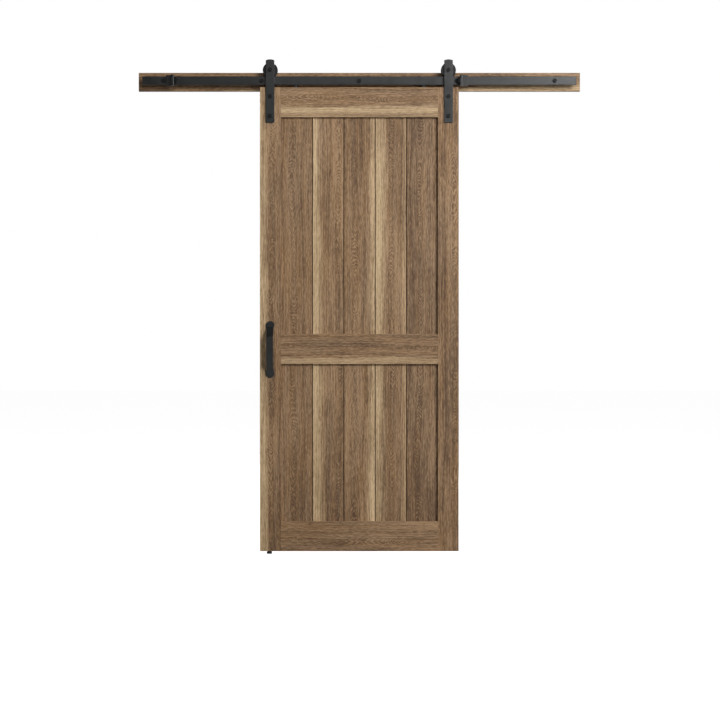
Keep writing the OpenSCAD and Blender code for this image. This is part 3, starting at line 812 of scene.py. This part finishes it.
@dataclass
class Shop:
    """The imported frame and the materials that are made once.

    Attributes:
        nodes: The CAD nodes by name.
        made: Materials by name.
        chamfer_width: Width of the chamfer on a bolt head's front face, in mm.
        face_depth: Corners that lie less than this behind a head's front face, in mm, are on it.
    """

    nodes: dict[str, bpy.types.Object]
    made: dict[str, bpy.types.Material] = field(default_factory=dict)
    chamfer_width: float = 2.2
    face_depth: float = 0.05

    def material(self, finish: Finish) -> bpy.types.Material:
        """Give a finish's material, made on first use.

        Args:
            finish: The finish.

        Returns:
            The material.
        """
        if finish.name not in self.made:
            self.made[finish.name] = finish.material()
        return self.made[finish.name]

    def dress(self, finish: Finish, *names: str) -> None:
        """Put a finish on CAD nodes as they are.

        Args:
            finish: The finish.
            *names: The nodes.
        """
        for name in names:
            data = self.nodes[name].data
            data.materials.clear()
            data.materials.append(self.material(finish))
            log.info("%s dressed in %s", name, finish.name)

    def ease(
        self, node: str, piece: str, finish: Finish, body: str, slot: str, width: float,
        **options: Any,
    ) -> bpy.types.Object:
        """Replace a CAD node by a copy with eased edges.

        Args:
            node: The CAD node.
            piece: The new piece's name.
            finish: Its finish.
            body: The body it rides on.
            slot: The record's material slot. It is not used.
            width: Width of the eased edges, in mm.
            **options: More for eased_copy.

        Returns:
            The piece.
        """
        shape = eased_copy(self.nodes[node], width, **options)
        return finish_piece(shape, piece, self.material(finish), body, (node,))

    def chamfer(self, node: str, piece: str, body: str) -> None:
        """Replace bolts by copies whose hexagon heads have a turned chamfer.

        Only edges on the heads' front face are cut.

        Args:
            node: The CAD node.
            piece: The new piece's name.
            body: The body it rides on.
        """
        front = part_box(node)[0].y + self.face_depth * MM
        self.ease(node, piece, OXIDE, body, "black_oxide_steel", self.chamfer_width,
                  segments=3, keep=lambda e: all(v.co.y < front for v in e.verts))


@dataclass
class DoorLeaf:
    """Stiles, rails, planks and their dowels.

    Attributes:
        shop: Frame and materials.
        edge: Width of a board's eased edges, in mm.
        shortest: Edges shorter than this, in mm, stay sharp, such as those of tenons.
    """

    shop: Shop
    edge: float = 0.9
    shortest: float = 14.0

    def centre(self, node: str, across: float) -> Point:
        """Give the point on a board's face that its figure is centred on.

        Args:
            node: The board.
            across: How far across the board the point lies, from 0 to 1.

        Returns:
            The point, in mm.
        """
        low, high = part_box(node)
        if high.z - low.z > high.x - low.x:
            x = low.x + across * (high.x - low.x)
            return (x / MM, low.y / MM, (low.z + high.z) / 2 / MM)
        z = low.z + across * (high.z - low.z)
        return ((low.x + high.x) / 2 / MM, low.y / MM, z / MM)

    def board(
        self, node: str, along: Along, seed: int, across: float, **look: Any
    ) -> tuple[str, Oak]:
        """Pair a board with its oak.

        Args:
            node: The board.
            along: The way its grain runs.
            seed: Picks its figure.
            across: How far across the board the figure's centre lies, from 0 to 1.
            **look: More for Oak.

        Returns:
            Node and oak.
        """
        return node, Oak("oak_" + node, along, self.centre(node, across), seed=seed, **look)

    def boards(self) -> list[tuple[str, Oak]]:
        """List the boards with their oak.

        Returns:
            Node and oak for each board.
        """
        up, level = Along.UP, Along.ACROSS
        left, right = Side.LEFT, Side.RIGHT
        return [
            self.board("stile_left", up, 1, 0.6, tone=-0.1,
                       bands=(Sapwood(-33, left, drift=-7, wander=4),)),
            self.board("stile_right", up, 2, 0.72, tone=-0.45),
            self.board("rail_top", level, 3, 0.62, tone=0.1,
                       bands=(Sapwood(-38, left, drift=-3, soft=15, width=28),
                              Sapwood(-58, left, soft=15, strength=0.3))),
            self.board("rail_mid_front", level, 4, 0.6, spread=4,
                       bands=(Sapwood(-51, left, soft=12, strength=0.5),)),
            self.board("rail_mid_back", level, 5, 0.5),
            self.board("rail_bottom", level, 6, 0.35, tone=0.6),
            self.board("plank_1", up, 7, 0.42, groove=True),
            self.board("plank_2", up, 8, 0.78, groove=True,
                       bands=(Sapwood(-82, left, drift=-12, wander=5),)),
            self.board("plank_3", up, 9, 0.3, tone=0.2, groove=True,
                       bands=(Sapwood(79, right, drift=8, wander=5),)),
            self.board("plank_4", up, 10, 0.5, groove=True,
                       bands=(Sapwood(-37, left, drift=4, wander=4, strength=0.85),
                              Sapwood(54, right, wander=4, strength=0.5))),
            self.board("plank_5", up, 11, 0.38, tone=-0.4, warm=0.2, groove=True),
        ]

    def build(self) -> None:
        """Replace each board by one with eased edges, and dress the dowels."""
        for node, oak in self.boards():
            self.shop.ease(node, "board_" + node, oak, "door", "oak", self.edge,
                           shortest=self.shortest)
        # Beech, turned to rods: the same figure, but paler and warmer, which sets the dowel
        # ends off from the oak.
        self.shop.dress(Oak("beech_dowels", Along.ACROSS, tone=3.0, warm=0.8), "frame_dowels")


@dataclass
class Rail:
    """Header board, flat rail, distance tubes, bolts, stops and floor guide.

    Attributes:
        shop: Frame and materials.
        header_edge: Width of the header board's eased edges, in mm.
        rail_edge: Width of the rail's rounded edges, in mm.
        stop_edge: Width of the stops' rounded edges, in mm.
        header_shortest: Edges of the header board shorter than this, in mm, stay sharp.
        rail_shortest: The same for the rail.
        stop_shortest: The same for the stops, which rounds only their long edges.
        figure_above: How far above its middle the header's figure is centred, in mm.
    """

    shop: Shop
    header_edge: float = 1.0
    rail_edge: float = 2.0
    stop_edge: float = 1.6
    header_shortest: float = 14.0
    rail_shortest: float = 10.0
    stop_shortest: float = 40.0
    figure_above: float = 8.0

    def header(self) -> None:
        """Replace the header board by one with eased edges."""
        low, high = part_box("header_board")
        centre = (0.0, low.y / MM, (low.z + high.z) / 2 / MM + self.figure_above)
        # Its pale band along the lower strip is sapwood and, in part, painted light that lifts
        # the strip lying in the rail's shadow.
        oak = Oak("oak_header", Along.ACROSS, centre, seed=13, tone=-0.2,
                  bands=(Sapwood(-40, Side.LEFT, drift=-16, soft=10, fray=14, strength=0.9),))
        self.shop.ease("header_board", "header", oak, "track", "header_oak", self.header_edge,
                       shortest=self.header_shortest)

    def build(self) -> None:
        """Build the fixed part."""
        shop = self.shop
        self.header()
        shop.ease("track_rail", "rail", CHARCOAL, "track", "charcoal_steel", self.rail_edge,
                  segments=3, shortest=self.rail_shortest)
        shop.dress(CHARCOAL, "track_spacers")
        shop.chamfer("track_bolts", "rail_bolts", "track")
        shop.dress(OXIDE, "stop_left_set_screws", "stop_right_set_screws",
                   "stop_left_bumper_screw", "stop_right_bumper_screw")
        for hand in Hand:
            stop = f"stop_{hand.value}"
            shop.ease(f"{stop}_body", stop, CHARCOAL, "track", "charcoal_steel",
                      self.stop_edge, segments=3, shortest=self.stop_shortest)
            shop.dress(RUBBER, f"{stop}_bumper")
        shop.dress(NYLON, "floor_guide")


@dataclass
class Hanger:
    """One strap hanger with its wheel, bearing and bolts.

    Attributes:
        shop: Frame and materials.
        hand: The end of the rail that it hangs nearer to.
        strap_edge: Width of the strap's eased edges, in mm.
        wheel_edge: Width of the wheel's eased edges, in mm.
    """

    shop: Shop
    hand: Hand
    strap_edge: float = 0.9
    wheel_edge: float = 0.4

    def build(self) -> None:
        """Build the hanger."""
        shop, side = self.shop, self.hand.value
        shop.ease(f"hanger_{side}_strap", f"strap_{side}", CHARCOAL, "door", "charcoal_steel",
                  self.strap_edge, shortest=1.0, least=60)
        shop.ease(f"hanger_{side}_wheel", f"wheel_{side}_turned", WHEEL, f"wheel_{side}",
                  "blackened_steel", self.wheel_edge, least=40)
        shop.chamfer(f"hanger_{side}_bolts", f"strap_bolts_{side}", "door")
        shop.chamfer(f"hanger_{side}_axle_bolt", f"axle_bolt_{side}", "door")
        shop.dress(OXIDE, *(f"hanger_{side}_{part}" for part in
                            ("washers", "nuts", "axle_nut")))
        shop.dress(ZINC, f"hanger_{side}_axle_spacer")
        shop.dress(BEARING, *(f"hanger_{side}_bearing_{part}" for part in
                              ("outer", "inner", "balls")))
        shop.dress(RUBBER, f"hanger_{side}_bearing_shields")


@dataclass
class Fittings:
    """Pull handle and anti-jump discs.

    Attributes:
        shop: Frame and materials.
        pull_edge: Width of the handle's eased edges, in mm.
    """

    shop: Shop
    pull_edge: float = 1.0

    def build(self) -> None:
        """Build the fittings."""
        shop = self.shop
        shop.ease("handle_pull", "pull_handle", CHARCOAL, "door", "charcoal_steel",
                  self.pull_edge, shortest=0.4, least=60)
        shop.dress(NYLON, "antijump_disc_left", "antijump_disc_right")
        shop.dress(ZINC, "antijump_screws", "handle_screws")


# ---- studio ----


@dataclass(frozen=True)
class Lamp:
    """A soft rectangular light.

    Attributes:
        name: The light's name.
        place: Where it hangs, in metres.
        aim: What it points at, in metres.
        size: Its width and height, in metres.
        power: Its power in watts.
    """

    name: str
    place: Point
    aim: Point
    size: tuple[float, float]
    power: float

    def hang(self) -> None:
        """Add the light to the scene."""
        data = bpy.data.lights.new(self.name, "AREA")
        data.shape, data.energy = "RECTANGLE", self.power
        data.size, data.size_y = self.size
        light = bpy.data.objects.new(self.name, data)
        light.location = self.place
        way = Vector(self.aim) - Vector(self.place)
        light.rotation_euler = way.to_track_quat("-Z", "Y").to_euler()
        bpy.context.scene.collection.objects.link(light)


# The key hangs high on the right, so recesses are shaded down their right side and under the
# rails. The fill and the two wide lamps lift what it leaves dark, and one lamp lights the back.
LAMPS = (
    Lamp("key_high_right", (2.95, -4.6, 1.4), (0.0, 0.0, -0.9), (3.0, 2.1), 264.0),
    Lamp("fill_low_right", (3.6, -4.4, -1.6), (0.0, 0.0, -1.2), (2.4, 1.8), 56.0),
    Lamp("wide_top", (-0.1, -4.6, 1.8), (0.0, 0.0, -0.2), (2.0, 1.6), 22.0),
    Lamp("wide_low", (-0.6, -4.6, -1.2), (0.0, 0.0, -1.2), (1.8, 1.6), 1.5),
    Lamp("behind", (1.9, 4.6, 0.9), (0.0, 0.0, -1.1), (3.0, 2.1), 190.0),
)


@dataclass
class Studio:
    """Floor, light and camera.

    Attributes:
        camera_x: Camera's place along the wall, in mm.
        camera_z: Camera's height, in mm from the middle of the header board.
        stand_off: Distance from the door's front to the camera, in mm.
        focal: Focal length, in mm.
        sensor: Width of the sensor, in mm.
        floor_half: Half the floor's width, in metres.
        floor_glow: Light that the camera sees the floor give off, which keeps it near white.
        overhead_power: Light from straight above, in watts per square metre.
        overhead_spread: Angular width of that light, in degrees.
        wall_shown: Brightness of the white that is seen round the door.
        wall_lit: Brightness that it gives to what it lights.
    """

    camera_x: float = 3.1
    camera_z: float = -1286.5
    stand_off: float = 7500.0
    focal: float = 81.56
    sensor: float = 36.0
    floor_half: float = 40.0
    floor_glow: float = 0.72
    overhead_power: float = 0.8
    overhead_spread: float = 45.0
    wall_shown: float = 1.0
    wall_lit: float = 0.06

    def camera(self) -> None:
        """Set the camera level, in front of the door."""
        data = bpy.data.cameras.new("camera")
        data.sensor_width, data.lens = self.sensor, self.focal
        data.clip_start, data.clip_end = 0.1, 100.0
        camera = bpy.data.objects.new("camera", data)
        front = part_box("stile_left")[0].y
        camera.location = (self.camera_x * MM, front - self.stand_off * MM, self.camera_z * MM)
        camera.rotation_euler = (math.pi / 2, 0.0, 0.0)
        bpy.context.scene.collection.objects.link(camera)
        bpy.context.scene.camera = camera

    def floor_paint(self) -> bpy.types.Material:
        """Build the floor's matt white paint, which gives off a little light of its own.

        Returns:
            The material.
        """
        material, tree = start_material("pale_studio_floor")
        path = add(tree, "LightPath")
        lift = add(tree, "Math", {0: path.outputs["Is Camera Ray"], 1: self.floor_glow},
                   operation="MULTIPLY")
        shader = add(tree, "BsdfPrincipled", {"Base Color": linear("EFEFEF"),
                                              "Roughness": 0.9, "Specular IOR Level": 0.1,
                                              "Emission Color": (1.0, 1.0, 1.0, 1.0),
                                              "Emission Strength": lift.outputs[0]})
        add(tree, "OutputMaterial", {0: shader.outputs[0]})
        return material

    def floor(self) -> None:
        """Lay a wide pale floor under the door."""
        shape = bmesh.new()
        bmesh.ops.create_grid(shape, x_segments=1, y_segments=1, size=self.floor_half)
        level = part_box("floor_guide")[0].z
        bmesh.ops.translate(shape, verts=shape.verts, vec=(0.0, 0.0, level))
        mesh = bpy.data.meshes.new("studio_floor")
        shape.to_mesh(mesh)
        shape.free()
        mesh.materials.append(self.floor_paint())
        floor = bpy.data.objects.new("studio_floor", mesh)
        bpy.context.scene.collection.objects.link(floor)
        floor.visible_diffuse = False

    def overhead(self) -> None:
        """Add an even light from straight above, which whitens the floor."""
        data = bpy.data.lights.new("overhead", "SUN")
        data.energy, data.angle = self.overhead_power, math.radians(self.overhead_spread)
        light = bpy.data.objects.new("overhead", data)
        light.visible_glossy = False
        bpy.context.scene.collection.objects.link(light)

    def world(self) -> None:
        """Surround the scene with white."""
        world = bpy.data.worlds.new("white_studio")
        bpy.context.scene.world = world
        world.use_nodes = True
        tree = world.node_tree
        tree.nodes.clear()
        path = add(tree, "LightPath")
        level = add(tree, "Mix", {0: path.outputs["Is Camera Ray"], 2: self.wall_lit,
                                  3: self.wall_shown})
        ground = add(tree, "Background", {"Color": (1.0, 1.0, 1.0, 1.0),
                                          "Strength": level.outputs[0]})
        add(tree, "OutputWorld", {0: ground.outputs[0]})

    def build(self) -> None:
        """Set up floor, lights and camera."""
        self.camera()
        self.floor()
        bpy.context.scene.view_settings.view_transform = "Standard"
        self.world()
        self.overhead()
        for lamp in LAMPS:
            lamp.hang()


def main() -> None:
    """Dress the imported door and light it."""
    logging.basicConfig(level=logging.INFO, format="%(name)s: %(message)s")
    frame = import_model()
    shop = Shop(frame["nodes"])
    Studio().build()
    DoorLeaf(shop).build()
    Rail(shop).build()
    for hand in Hand:
        Hanger(shop, hand).build()
    Fittings(shop).build()


if __name__ == "__main__":
    main()
